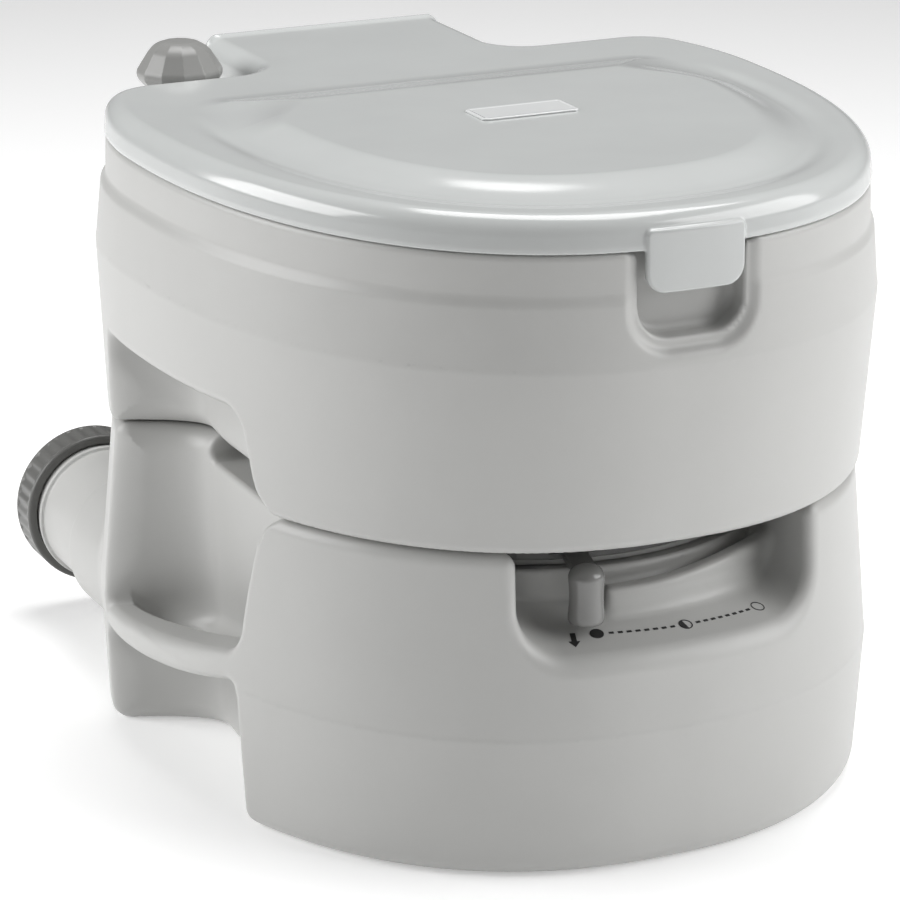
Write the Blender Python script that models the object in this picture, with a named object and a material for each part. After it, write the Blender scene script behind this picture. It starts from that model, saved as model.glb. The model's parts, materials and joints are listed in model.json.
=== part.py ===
"""Portable camp toilet: a waste tank below, a flush tank with bowl, seat and lid above.

Metres, +Z up, the user faces -Y and the pour spout is at the rear left.
The origin is at the centre of the footprint's bounding box, on the floor.
Places along Y are written as WIDE_Y + something, where WIDE_Y is the tanks' widest line.
"""
from math import cos, pi, radians, sin

import bmesh
import bpy
from mathutils import Matrix, Vector

# Driving dimensions
WIDE_Y = 0.0195
GAP = 0.0003
SEAM_Z = 0.178
RIM_Z = 0.337
DECK_Z = 0.312
WALL = 0.0035
HALF_WIDTH_LOW = 0.1955
HALF_WIDTH_TOP = 0.192
REAR_DEPTH = 0.195
FRONT_DEPTH_FLOOR = 0.261
FRONT_DEPTH_SEAM = 0.271
FRONT_DEPTH_RIM = 0.284
FRONT_POWER = 2.3
REAR_POWER = 2.1
PLAN_STEPS = 12

# Both tanks swell towards their parting lines: (height, swell) from the floor up
WASTE_DRAFT = ((0.0, 0.0028), (0.078, 0.0066), (SEAM_Z, -0.0028))
FLUSH_DRAFT = ((SEAM_Z, -0.0013), (0.278, 0.0062), (RIM_Z, 0.0003))

# Side recesses with the moulded grip between them
RECESS_X = 0.147
RECESS_FRONT = -0.122
RECESS_FLARE_START = -0.040
RECESS_FLARE_END = 0.055
RECESS_FLARE = 0.056
GRIP_SPAN = (0.030, -0.120)
GRIP_UNDERSIDE = (0.0585, 0.0815)
GRIP_TOP = (0.0725, 0.0975)
ARCH_Z_REAR = 0.2156
ARCH_RISE = 0.020
NOTCH_X = 0.128
NOTCH_Z = 0.163
NOTCH_SPAN = (RECESS_FRONT + 0.001, 0.0)

# Valve, on a vertical axis under the bowl
VALVE_Y = WIDE_Y - 0.085
OUTLET_R = 0.0365
WELL_R = 0.130
WELL_Z = 0.150
HOUSING_R = 0.126
HOUSING_BORE_R = 0.1165
RING_TEETH = 66
BLADE_TEETH = 28
MODULE = 0.003
TOOTH_HEIGHT = 0.001
BLADE_DIRECTION = radians(139)
LEVER_CLOSED = radians(-14)
LEVER_SWING = radians(35)
LEVER_R = 0.163
GRIP_R = 0.0095
SCREW_CIRCLE_R = 0.1212
BLADE_R = 0.0385
GEAR_Z = (0.1578, 0.1615)
BLADE_Z = (0.1545, 0.1575)

# Front recess for the lever
FRONT_RECESS_X = (-0.0805, 0.088)
FRONT_RECESS_Z = 0.125
BLOCK_R = (0.1395, 0.150)
BLOCK_BASE_Z = 0.141
BLOCK_ANGLES = (radians(-9), radians(32))

# Bowl, seat, lid and their hinge
BOWL_Y = WIDE_Y - 0.090
BOWL_HALF = (0.098, 0.125)
HINGE_Y = WIDE_Y + 0.180
HINGE_Z = 0.340
KNUCKLE_R = 0.006
PIN_R = 0.0025
TONGUE_END = 0.158
TAIL_HALF = 0.076
SHOULDER = 0.097
TAIL_END = 0.197
LID_NOTCH = 0.185
SKIRT_TOP_Z = 0.350
LID_TOP_Z = 0.356
PANEL_Z = 0.363
TAB_HALF = 0.0272
TAB_DROP = 0.0217

# Pump at the rear left, filler at the rear right
PUMP_XY = (-0.1145, WIDE_Y + 0.127)
FILL_XY = (0.1145, WIDE_Y + 0.127)
BARREL_R = 0.013
BARREL_BORE_R = 0.011
ROD_R = 0.004
NOZZLE_X = -0.030
NOZZLE_Z = 0.300

# Pour spout at the rear left
SPOUT_X = -0.137
SPOUT_Z = 0.065
SPOUT_R = 0.0395
SPOUT_BORE_R = 0.036
CAP_R = 0.046
CAP_END = 0.2465

COLOURS = {
    "tank_plastic": ((0.64, 0.64, 0.63), 0.45, 0.0),
    "lid_plastic": ((0.60, 0.61, 0.61), 0.22, 0.0),
    "bowl_plastic": ((0.66, 0.66, 0.65), 0.18, 0.0),
    "grey_plastic": ((0.22, 0.22, 0.21), 0.38, 0.0),
    "valve_plastic": ((0.45, 0.45, 0.44), 0.40, 0.0),
    "black_rubber": ((0.03, 0.03, 0.03), 0.75, 0.0),
    "steel": ((0.62, 0.62, 0.63), 0.30, 1.0),
}


def clear_scene():
    for item in list(bpy.data.objects):
        bpy.data.objects.remove(item, do_unlink=True)


def make_material(name):
    colour, roughness, metallic = COLOURS[name]
    material = bpy.data.materials.new(name)
    material.use_nodes = True
    shader = material.node_tree.nodes["Principled BSDF"]
    shader.inputs["Base Color"].default_value = (*colour, 1.0)
    shader.inputs["Roughness"].default_value = roughness
    shader.inputs["Metallic"].default_value = metallic
    return material


# Plan outlines: lists of (x, y), counter-clockwise from above

def super_arc(half_x, half_y, power, start, end, steps):
    """Points of a superellipse about the widest line, from one angle to another."""
    points = []
    for step in range(steps):
        angle = start + (end - start) * step / steps
        c, s = cos(angle), sin(angle)
        x = half_x * abs(c) ** (2 / power) * (1 if c >= 0 else -1)
        y = half_y * abs(s) ** (2 / power) * (1 if s >= 0 else -1)
        points.append((x, WIDE_Y + y))
    return points


def tank_plan(half_x, front, rear=REAR_DEPTH, inset=0.0):
    rear_arc = super_arc(half_x - inset, rear - inset, REAR_POWER, 0, pi, 2 * PLAN_STEPS)
    front_arc = super_arc(half_x - inset, front - inset, FRONT_POWER, pi, 2 * pi, 2 * PLAN_STEPS)
    return rear_arc + front_arc


def swell(draft, z):
    """How far a tank's wall stands out at a height, from the draft on both sides of its parting line."""
    low, middle, high = draft
    start, end = (low, middle) if z <= middle[0] else (middle, high)
    return start[1] + (end[1] - start[1]) * (z - start[0]) / (end[0] - start[0])


def waste_plan(z, inset):
    front = FRONT_DEPTH_FLOOR + (FRONT_DEPTH_SEAM - FRONT_DEPTH_FLOOR) * z / SEAM_Z
    return tank_plan(HALF_WIDTH_LOW, front, inset=inset - swell(WASTE_DRAFT, z))


def flush_plan(z, inset):
    t = (z - SEAM_Z) / (RIM_Z - SEAM_Z)
    half = HALF_WIDTH_LOW + (HALF_WIDTH_TOP - HALF_WIDTH_LOW) * t
    front = FRONT_DEPTH_SEAM + (FRONT_DEPTH_RIM - FRONT_DEPTH_SEAM) * t
    return tank_plan(half, front, inset=inset - swell(FLUSH_DRAFT, z))


def circle(radius, centre=(0.0, 0.0), steps=32):
    return [(centre[0] + radius * cos(2 * pi * i / steps),
             centre[1] + radius * sin(2 * pi * i / steps)) for i in range(steps)]


def fillet_loop(corners, steps=4):
    """A closed outline from (x, y, radius) corners, each rounded by an arc."""
    points = []
    count = len(corners)
    for i, (x, y, radius) in enumerate(corners):
        here = Vector((x, y))
        if radius == 0:
            points.append((x, y))
            continue
        before = (Vector(corners[i - 1][:2]) - here).normalized()
        after = (Vector(corners[(i + 1) % count][:2]) - here).normalized()
        half = before.angle(after) / 2
        reach = radius / sin(half)
        middle = here + (before + after).normalized() * reach
        first = here + before * (reach * cos(half)) - middle
        turn = (pi - 2 * half) * (-1 if before.cross(after) > 0 else 1)
        for k in range(steps + 1):
            offset = first.copy()
            offset.rotate(Matrix.Rotation(turn * k / steps, 2))
            points.append(tuple(middle + offset))
    return points


def offset_loop(points, inset):
    """The outline moved inwards by inset, corner by corner."""
    moved = []
    count = len(points)
    for i in range(count):
        here = Vector(points[i])
        before = (here - Vector(points[i - 1])).normalized()
        after = (Vector(points[(i + 1) % count]) - here).normalized()
        normal = Vector((-before.y - after.y, before.x + after.x)).normalized()
        stretch = max(normal.dot(Vector((-before.y, before.x))), 0.5)
        moved.append(tuple(here + normal * (inset / stretch)))
    return moved


# Solids

def new_object(name, bm, material=None):
    bmesh.ops.recalc_face_normals(bm, faces=bm.faces)
    mesh = bpy.data.meshes.new(name)
    bm.to_mesh(mesh)
    bm.free()
    mesh.shade_smooth()
    mesh.set_sharp_from_angle(angle=radians(35))
    item = bpy.data.objects.new(name, mesh)
    bpy.context.collection.objects.link(item)
    if material:
        mesh.materials.append(MATERIALS[material])
    return item


def loft(name, rings, material=None):
    """A closed solid through rings of equal length, each a list of (x, y, z)."""
    bm = bmesh.new()
    rows = [[bm.verts.new(point) for point in ring] for ring in rings]
    count = len(rows[0])
    for low, high in zip(rows, rows[1:]):
        for i in range(count):
            j = (i + 1) % count
            bm.faces.new((low[i], low[j], high[j], high[i]))
    bm.faces.new(list(reversed(rows[0])))
    bm.faces.new(rows[-1])
    return new_object(name, bm, material)


def stack(name, levels, material=None):
    """A loft from (outline, z) levels, listed from the bottom up."""
    return loft(name, [[(x, y, z) for x, y in outline] for outline, z in levels], material)


def prism(name, outline, low, high, material=None):
    return stack(name, [(outline, low), (outline, high)], material)


def box(name, low, high, material=None):
    outline = [(low[0], low[1]), (high[0], low[1]), (high[0], high[1]), (low[0], high[1])]
    return prism(name, outline, low[2], high[2], material)


def turned(name, profile, centre, material=None, steps=28, axis="Z"):
    """A ring or disc turned about an axis; profile is a closed loop of (radius, height).

    A profile that starts and ends at radius 0 is solid through the axis.
    """
    bm = bmesh.new()
    solid = profile[0][0] == 0
    inner = profile[1:-1] if solid else profile
    rows = []
    for radius, height in inner:
        rows.append([bm.verts.new((x, y, height)) for x, y in circle(radius, steps=steps)])
    pairs = list(zip(rows, rows[1:]))
    if not solid:
        pairs.append((rows[-1], rows[0]))
    for low, high in pairs:
        for i in range(steps):
            j = (i + 1) % steps
            bm.faces.new((low[i], low[j], high[j], high[i]))
    if solid:
        bm.faces.new(list(reversed(rows[0])))
        bm.faces.new(rows[-1])
    spin = {"Z": Matrix(), "Y": Matrix.Rotation(radians(-90), 4, "X"),
            "X": Matrix.Rotation(radians(90), 4, "Y")}[axis]
    bm.transform(Matrix.Translation(centre) @ spin)
    return new_object(name, bm, material)


def ring_profile(inner, outer, low, high):
    return [(inner, low), (outer, low), (outer, high), (inner, high)]


def disc_profile(radius, low, high):
    return [(0, low), (radius, low), (radius, high), (0, high)]


def group(name, items, material=None):
    """One cutter from several separate solids."""
    bm = bmesh.new()
    for item in items:
        bm.from_mesh(item.data)
        bpy.data.objects.remove(item, do_unlink=True)
    return new_object(name, bm, material)


def boolean(target, other, operation):
    modifier = target.modifiers.new(f"{operation.lower()}_{other.name}", "BOOLEAN")
    modifier.operation = operation
    modifier.solver = "EXACT"
    modifier.object = other
    other.hide_render = True
    other.display_type = "WIRE"


def cut(target, *others):
    for other in others:
        boolean(target, other, "DIFFERENCE")


def add(target, *others):
    for other in others:
        boolean(target, other, "UNION")


def pivot(name, place, parent=None):
    """An empty on a joint's axis, in world coordinates."""
    empty = bpy.data.objects.new(name, None)
    empty.empty_display_size = 0.02
    bpy.context.collection.objects.link(empty)
    empty.location = Vector(place)
    if parent:
        empty.parent = parent
        empty.location = Vector(place) - PLACES[parent.name]
    PLACES[name] = Vector(place)
    return empty


def attach(empty, *items):
    """Parents solids that were modelled in world coordinates to a joint's empty."""
    for item in items:
        item.parent = empty
        item.location = -PLACES[empty.name]


def at(x, back, z):
    """A point given by its distance behind the widest line."""
    return (x, WIDE_Y + back, z)


# Shared cutters

def recess_plan(side, grow=0.0):
    """Side recess from above: a flat inner wall that flares out to the rear."""
    outline = [(0.26, WIDE_Y + RECESS_FRONT - grow), (0.26, WIDE_Y + RECESS_FLARE_END + grow)]
    for step in range(8):
        t = 1 - step / 7
        back = RECESS_FLARE_START + t * (RECESS_FLARE_END - RECESS_FLARE_START)
        outline.append((RECESS_X - grow + RECESS_FLARE * t ** 2.6, WIDE_Y + back + grow * t))
    outline.append((RECESS_X - grow, WIDE_Y + RECESS_FRONT - grow))
    if side < 0:
        outline = [(-x, y) for x, y in reversed(outline)]
    return outline


def grip_level(levels, y):
    """Height of the grip's underside or top, which both rise towards the front."""
    rear, front = GRIP_SPAN
    return levels[0] + (levels[1] - levels[0]) * (WIDE_Y + rear - y) / (rear - front)


def side_recess(name, side, part, grow=0.0):
    """The recess under the grip, over the grip, or in the flush tank."""
    outline = recess_plan(side, grow)
    if part == "under":
        low = [(x, y, -0.02) for x, y in outline]
        high = [(x, y, grip_level(GRIP_UNDERSIDE, y) + grow) for x, y in outline]
    elif part == "over":
        low = [(x, y, grip_level(GRIP_TOP, y) - grow) for x, y in outline]
        high = [(x, y, 0.20 + grow) for x, y in outline]
    else:
        rear_y = WIDE_Y + RECESS_FLARE_END
        slope = ARCH_RISE / (RECESS_FLARE_END - RECESS_FRONT)
        low = [(x, y, SEAM_Z - 0.02) for x, y in outline]
        high = [(x, y, ARCH_Z_REAR + grow + slope * (rear_y - y)) for x, y in outline]
    return loft(name, [low, high])


def top_notch(name, side, grow=0.0):
    """The step in the waste tank's upper edge beside the grip, for lifting the flush tank off."""
    xs = sorted((side * (NOTCH_X - grow), side * 0.26))
    return box(name, at(xs[0], NOTCH_SPAN[0] - grow, NOTCH_Z - grow), at(xs[1], NOTCH_SPAN[1] + grow, 0.20))


def screw_places():
    return [(SCREW_CIRCLE_R * sin(radians(30 + 60 * i)),
             VALVE_Y - SCREW_CIRCLE_R * cos(radians(30 + 60 * i))) for i in range(6)]


def screw_holes(name):
    holes = [turned(f"{name}_{i}", disc_profile(0.0019, 0.1461, 0.18), (x, y, 0), steps=8)
             for i, (x, y) in enumerate(screw_places())]
    return group(name, holes)


# Waste tank

def waste_tank():
    tank = stack("waste_tank", [
        (waste_plan(z, inset), z) for z, inset in (
            (0.0, 0.010), (0.003, 0.0035), (0.010, 0.0), (WASTE_DRAFT[1][0], 0.0),
            (0.1695, 0.0), (0.1755, 0.0025), (SEAM_Z - GAP, 0.008))], "tank_plastic")
    inside = stack("waste_volume", [
        (waste_plan(z, inset), z) for z, inset in (
            (WALL, 0.009), (0.012, WALL), (WASTE_DRAFT[1][0], WALL), (0.168, WALL),
            (SEAM_Z - GAP - WALL, 0.010))])
    for side, word in ((-1, "left"), (1, "right")):
        for part in ("under", "over"):
            cut(inside, side_recess(f"{word}_{part}_wall", side, part, WALL))
            cut(tank, side_recess(f"{word}_{part}_recess", side, part))
        cut(inside, top_notch(f"{word}_notch_wall", side, WALL))
        cut(tank, top_notch(f"{word}_notch", side))
    well_wall = turned("well_wall", disc_profile(WELL_R + WALL, WELL_Z - 0.004, 0.20),
                       (0, VALVE_Y, 0), steps=48)
    left, right = FRONT_RECESS_X
    front_wall = box("front_recess_wall", at(left - WALL, -0.32, FRONT_RECESS_Z - WALL),
                     at(right + WALL, -0.185, 0.20))
    cut(inside, well_wall, front_wall)

    corner = 0.025
    front_outline = fillet_loop([(left, FRONT_RECESS_Z, corner), (right, FRONT_RECESS_Z, corner),
                                 (right, 0.20, 0), (left, 0.20, 0)])
    front_recess = loft("front_recess", [[(x, WIDE_Y - 0.19, z) for x, z in front_outline],
                                         [(x, WIDE_Y - 0.32, z) for x, z in front_outline]])
    ledge = turned("valve_ledge", disc_profile(WELL_R + 0.004, 0.10, WELL_Z), (0, VALVE_Y, 0), steps=48)
    block = block_sector("guide_block", BLOCK_R[0], WELL_Z)
    cut(front_recess, ledge, block, block_sector("guide_base", 0.120, BLOCK_BASE_Z))
    well = turned("valve_well", disc_profile(WELL_R, WELL_Z, 0.20), (0, VALVE_Y, 0), steps=48)
    outlet = turned("waste_inlet", disc_profile(0.046, 0.13, 0.16), (0, VALVE_Y, 0))
    spout_hole = turned("spout_hole", disc_profile(SPOUT_R + GAP, 0.10, 0.24),
                        (SPOUT_X, WIDE_Y, SPOUT_Z), steps=32, axis="Y")
    collar = turned("spout_collar", ring_profile(SPOUT_R + GAP, 0.044, 0.083, 0.158),
                    (SPOUT_X, WIDE_Y, SPOUT_Z), steps=32, axis="Y")
    cut(tank, inside, front_recess, well, outlet, spout_hole, screw_holes("tank_screw_holes"))
    add(tank, collar)
    return tank


def block_sector(name, inner, high):
    outline = []
    first, last = BLOCK_ANGLES
    for radius, order in ((BLOCK_R[1], range(9)), (inner, range(8, -1, -1))):
        for i in order:
            angle = first + (last - first) * i / 8
            outline.append((radius * sin(angle), VALVE_Y - radius * cos(angle)))
    return prism(name, outline, 0.10, high)


def pour_spout():
    start, end = 0.125, CAP_END - 0.0065
    return turned("pour_spout", ring_profile(SPOUT_BORE_R, SPOUT_R, start, end),
                  (SPOUT_X, WIDE_Y, SPOUT_Z), "tank_plastic", axis="Y")


def spout_cap():
    frame = pivot("spout_cap_axis", at(SPOUT_X, CAP_END, SPOUT_Z))
    mouth, floor = CAP_END - 0.0245, CAP_END - 0.003
    profile = [(0, CAP_END), (CAP_R - 0.003, CAP_END), (CAP_R, floor), (CAP_R, mouth + 0.002),
               (CAP_R - 0.001, mouth), (SPOUT_R + 0.0008, mouth), (SPOUT_R + 0.0008, floor), (0, floor)]
    cap = turned("spout_cap", profile, (SPOUT_X, WIDE_Y, SPOUT_Z), "grey_plastic", steps=36, axis="Y")
    seal = turned("spout_cap_seal", ring_profile(SPOUT_BORE_R - 0.001, SPOUT_R, floor - 0.0029, floor - GAP),
                  (SPOUT_X, WIDE_Y, SPOUT_Z), "black_rubber", axis="Y")
    attach(frame, cap, seal)


# Valve

def valve_housing():
    centre = (0, VALVE_Y, 0)
    turned("valve_gasket", ring_profile(0.048, 0.060, WELL_Z + GAP, 0.1513), centre, "black_rubber")
    base = turned("valve_base", ring_profile(OUTLET_R, HOUSING_R, 0.1516, 0.1540), centre,
                  "valve_plastic", steps=40)
    neck = turned("valve_neck", ring_profile(OUTLET_R, 0.044, 0.138, 0.1530), centre)
    cover_profile = [(OUTLET_R, 0.1655), (HOUSING_BORE_R, 0.1655), (HOUSING_BORE_R, 0.1543),
                     (HOUSING_R, 0.1543), (HOUSING_R, 0.1700), (HOUSING_R - 0.002, 0.1720),
                     (OUTLET_R, 0.1720)]
    cover = turned("valve_cover", cover_profile, centre, "valve_plastic", steps=40)
    slot = []
    for radius, order in ((0.14, range(9)), (0.11, range(8, -1, -1))):
        for i in order:
            angle = radians(-19.5 + 46 * i / 8)
            slot.append((radius * sin(angle), VALVE_Y - radius * cos(angle)))
    lever_slot = prism("lever_slot", slot, GEAR_Z[0] - 0.0008, GEAR_Z[1] + 0.0008)
    add(base, neck)
    cut(base, screw_holes("base_screw_holes"))
    cut(cover, lever_slot, screw_holes("cover_screw_holes"))
    turned("blade_seal", ring_profile(OUTLET_R + GAP, 0.041, GEAR_Z[0], 0.1652), centre, "black_rubber")
    turned("bowl_seal", ring_profile(0.038, 0.046, 0.1723, 0.1780), centre, "black_rubber")
    profile = [(0, 0.1464), (0.0016, 0.1464), (0.0016, 0.1723), (0.0035, 0.1723),
               (0.0030, 0.1742), (0, 0.1742)]
    for i, (x, y) in enumerate(screw_places()):
        turned(f"valve_screw_{i + 1}", profile, (x, y, 0), "steel", steps=8)


def toothed_outline(centre, radius, teeth, first, last, phase, steps_per_tooth=4):
    """An arc whose radius waves once for each tooth, from angle first to last."""
    count = max(2, round((last - first) / (2 * pi / teeth) * steps_per_tooth))
    points = []
    for i in range(count + 1):
        angle = first + (last - first) * i / count
        reach = radius + TOOTH_HEIGHT * cos(teeth * (angle - phase))
        points.append((centre[0] + reach * cos(angle), centre[1] + reach * sin(angle)))
    return points


def lever_point(radius, side):
    """A point on the lever, given by its distance from the valve axis and sideways place."""
    along = Vector((sin(LEVER_CLOSED), -cos(LEVER_CLOSED)))
    across = Vector((cos(LEVER_CLOSED), sin(LEVER_CLOSED)))
    point = Vector((0, VALVE_Y)) + along * radius + across * side
    return (point.x, point.y)


def valve_lever():
    """The toothed ring, its arm through the slot and the grip that hangs from it."""
    frame = pivot("valve_axis", (0, VALVE_Y, GEAR_Z[0]))
    centre = (0, VALVE_Y)
    pitch_r = RING_TEETH * MODULE / 2 + 0.0005
    margin = 2 * pi / RING_TEETH * 1.5
    first = BLADE_DIRECTION - LEVER_SWING - margin
    last = BLADE_DIRECTION + margin
    bore = toothed_outline(centre, pitch_r, RING_TEETH, first, last, BLADE_DIRECTION)
    plain_r = 0.1045
    for i in range(25):
        angle = last + (2 * pi - (last - first)) * i / 24
        bore.append((centre[0] + plain_r * cos(angle), centre[1] + plain_r * sin(angle)))
    ring = prism("valve_ring", circle(0.1155, centre, 48), *GEAR_Z, "valve_plastic")
    arm = prism("lever_arm", [lever_point(0.112, 0.007), lever_point(0.112, -0.007),
                              lever_point(0.160, -0.006), lever_point(0.160, 0.006)], *GEAR_Z)
    add(ring, arm)
    cut(ring, prism("ring_bore", bore, 0.15, 0.17))

    grip_xy = lever_point(LEVER_R, 0.0)
    profile = [(0, 0.132), (0.0055, 0.132), (0.0085, 0.134), (GRIP_R, 0.138), (GRIP_R, 0.1555),
               (0.0084, 0.1612), (0.0052, 0.164), (0, 0.164)]
    grip = turned("lever_grip", profile, (*grip_xy, 0), "grey_plastic", steps=20)
    socket = prism("grip_socket", [lever_point(0.15, 0.0065), lever_point(0.15, -0.0065),
                                   lever_point(0.1603, -0.0063), lever_point(0.1603, 0.0063)],
                   GEAR_Z[0] - GAP, GEAR_Z[1] + GAP)
    cut(grip, socket)
    attach(frame, ring, grip)


def valve_blade():
    """The round blade, on its own pin; its toothed sector meshes inside the ring."""
    distance = (RING_TEETH - BLADE_TEETH) * MODULE / 2
    pin_xy = (distance * cos(BLADE_DIRECTION), VALVE_Y + distance * sin(BLADE_DIRECTION))
    frame = pivot("blade_axis", (*pin_xy, BLADE_Z[0]))
    pitch_r = BLADE_TEETH * MODULE / 2 - 0.0005
    margin = 2 * pi / BLADE_TEETH * 1.5
    swing = LEVER_SWING * RING_TEETH / BLADE_TEETH
    sector = toothed_outline(pin_xy, pitch_r, BLADE_TEETH, BLADE_DIRECTION - swing - margin,
                             BLADE_DIRECTION + margin, BLADE_DIRECTION)
    sector.append((pin_xy[0] + 0.006 * cos(BLADE_DIRECTION + pi / 2 + 1),
                   pin_xy[1] + 0.006 * sin(BLADE_DIRECTION + pi / 2 + 1)))
    sector.append((pin_xy[0] + 0.006 * cos(BLADE_DIRECTION - pi / 2 - swing / 2),
                   pin_xy[1] + 0.006 * sin(BLADE_DIRECTION - pi / 2 - swing / 2)))
    blade = prism("valve_blade", circle(BLADE_R, (0, VALVE_Y), 36), *BLADE_Z, "valve_plastic")
    web = []
    for angle in (BLADE_DIRECTION + pi / 2, BLADE_DIRECTION - pi / 2):
        web.append((0.030 * cos(angle), VALVE_Y + 0.030 * sin(angle)))
    for angle in (BLADE_DIRECTION - pi / 2, BLADE_DIRECTION, BLADE_DIRECTION + pi / 2):
        web.append((pin_xy[0] + 0.009 * cos(angle), pin_xy[1] + 0.009 * sin(angle)))
    web_plate = prism("blade_web", web, *BLADE_Z)
    sector_plate = prism("blade_sector", sector, BLADE_Z[1] - 0.0005, GEAR_Z[1])
    boss = turned("blade_boss", disc_profile(0.008, BLADE_Z[0], GEAR_Z[1]), (*pin_xy, 0), steps=20)
    pin_hole = turned("blade_pin_hole", disc_profile(0.0033, 0.15, 0.17), (*pin_xy, 0), steps=16)
    add(blade, web_plate, sector_plate, boss)
    cut(blade, pin_hole)
    turned("blade_pin", disc_profile(0.003, 0.1543, 0.1652), (*pin_xy, 0), "steel", steps=16)
    attach(frame, blade)


# Flush tank

def well_levels(grow):
    """The hole that takes the bowl: an oval at the rim and round at the outlet."""
    top = [(x * (BOWL_HALF[0] + grow), BOWL_Y + y * (BOWL_HALF[1] + grow)) for x, y in circle(1)]
    middle = [(x * (BOWL_HALF[0] * 0.86 + grow), BOWL_Y + y * (BOWL_HALF[1] * 0.86 + grow))
              for x, y in circle(1)]
    low = circle(0.052 + grow, (0, VALVE_Y))
    outlet = circle(OUTLET_R + grow, (0, VALVE_Y))
    return top, middle, low, outlet


def flush_tank(frame):
    tank = stack("flush_tank", [
        (flush_plan(z, inset), z) for z, inset in (
            (SEAM_Z + GAP, 0.005), (SEAM_Z + 0.0025, 0.0015), (SEAM_Z + 0.007, 0.0),
            (FLUSH_DRAFT[1][0], 0.0), (RIM_Z - 0.003, 0.0), (RIM_Z, 0.0025))], "tank_plastic")
    inside = stack("flush_volume", [
        (flush_plan(z, inset), z) for z, inset in (
            (SEAM_Z + GAP + WALL, 0.007), (SEAM_Z + 0.009, WALL), (FLUSH_DRAFT[1][0], WALL),
            (RIM_Z - WALL, WALL))])

    top, middle, low, outlet = well_levels(0.004)
    well = stack("bowl_well", [(outlet, 0.170), (outlet, 0.190), (low, 0.205), (middle, 0.300),
                               (top, RIM_Z - 0.006), (top, 0.36)])
    for side, word in ((-1, "left"), (1, "right")):
        cut(inside, side_recess(f"{word}_arch_wall", side, "arch", WALL))
        cut(tank, side_recess(f"{word}_arch", side, "arch"))
        corner_low = at(min(side * TAIL_HALF, side * 0.3), SHOULDER, DECK_Z)
        corner_high = at(max(side * TAIL_HALF, side * 0.3), 0.30, 0.36)
        cut(tank, box(f"{word}_rear_deck", corner_low, corner_high))
    cut(tank, box("hinge_deck", at(-0.3, TONGUE_END, DECK_Z), at(0.3, 0.30, 0.36)))
    deck_wall = []
    for x, back in ((0.3, SHOULDER), (0.3, 0.30), (-0.3, 0.30), (-0.3, SHOULDER),
                    (-TAIL_HALF, SHOULDER), (-TAIL_HALF, TONGUE_END), (TAIL_HALF, TONGUE_END),
                    (TAIL_HALF, SHOULDER)):
        inner = -WALL if abs(x) < 0.1 else 0.0
        deck_wall.append((x + (inner if x > 0 else -inner), WIDE_Y + back - WALL))
    cut(inside, prism("rear_deck_wall", deck_wall, DECK_Z - WALL, 0.36), finger_pocket(WALL))
    cut(tank, inside, well, finger_pocket(0.0))

    pump_hole = turned("pump_hole", disc_profile(BARREL_R + GAP, 0.29, 0.34), (*PUMP_XY, 0), steps=24)
    fill_hole = turned("fill_hole", disc_profile(0.022, 0.29, 0.34), (*FILL_XY, 0), steps=24)
    add(tank, *hinge_lugs())
    cut(tank, pump_hole, fill_hole, hinge_bore("lug_bore"))
    attach(frame, tank)


def finger_pocket(grow):
    """The hollow behind the lid's tab, open at the front and at the rim."""
    half, low = 0.033 + grow, 0.288 - grow
    outline = fillet_loop([(-half, low, 0.022), (half, low, 0.022), (half, 0.36, 0), (-half, 0.36, 0)])
    back = -FRONT_DEPTH_RIM + 0.014 + grow
    return loft(f"finger_pocket_{int(grow * 10000)}", [[(x, WIDE_Y + back, z) for x, z in outline],
                                                       [(x, WIDE_Y - 0.32, z) for x, z in outline]])


def knuckle(name, low_x, high_x, root):
    """A hinge eye about the hinge axis with a root towards the given (y, z) corners."""
    steps = 10
    outline = [(HINGE_Y + KNUCKLE_R * cos(2 * pi * i / steps), HINGE_Z + KNUCKLE_R * sin(2 * pi * i / steps))
               for i in range(steps)]
    eye = loft(name, [[(low_x, y, z) for y, z in outline], [(high_x, y, z) for y, z in outline]])
    add(eye, loft(f"{name}_root", [[(low_x, y, z) for y, z in root], [(high_x, y, z) for y, z in root]]))
    return eye


def hinge_bore(name, radius=PIN_R + GAP):
    return turned(name, disc_profile(radius, -0.08, 0.08), (0, HINGE_Y, HINGE_Z), steps=12, axis="X")


def hinge_lugs():
    """Two lugs that reach back from the tongue behind the bowl and hold the pins."""
    front = WIDE_Y + TONGUE_END - 0.003
    root = [(front, 0.3335), (HINGE_Y, HINGE_Z - KNUCKLE_R), (HINGE_Y, HINGE_Z + 0.004),
            (front, HINGE_Z + 0.003)]
    return [knuckle("left_lug", -0.062, -0.050, root), knuckle("right_lug", 0.050, 0.062, root)]


def hinge_pins(frame):
    for word, low, high in (("left", -0.064, -0.022), ("right", 0.022, 0.064)):
        attach(frame, turned(f"hinge_pin_{word}", disc_profile(PIN_R, low, high),
                             (0, HINGE_Y, HINGE_Z), "steel", steps=12, axis="X"))


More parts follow.
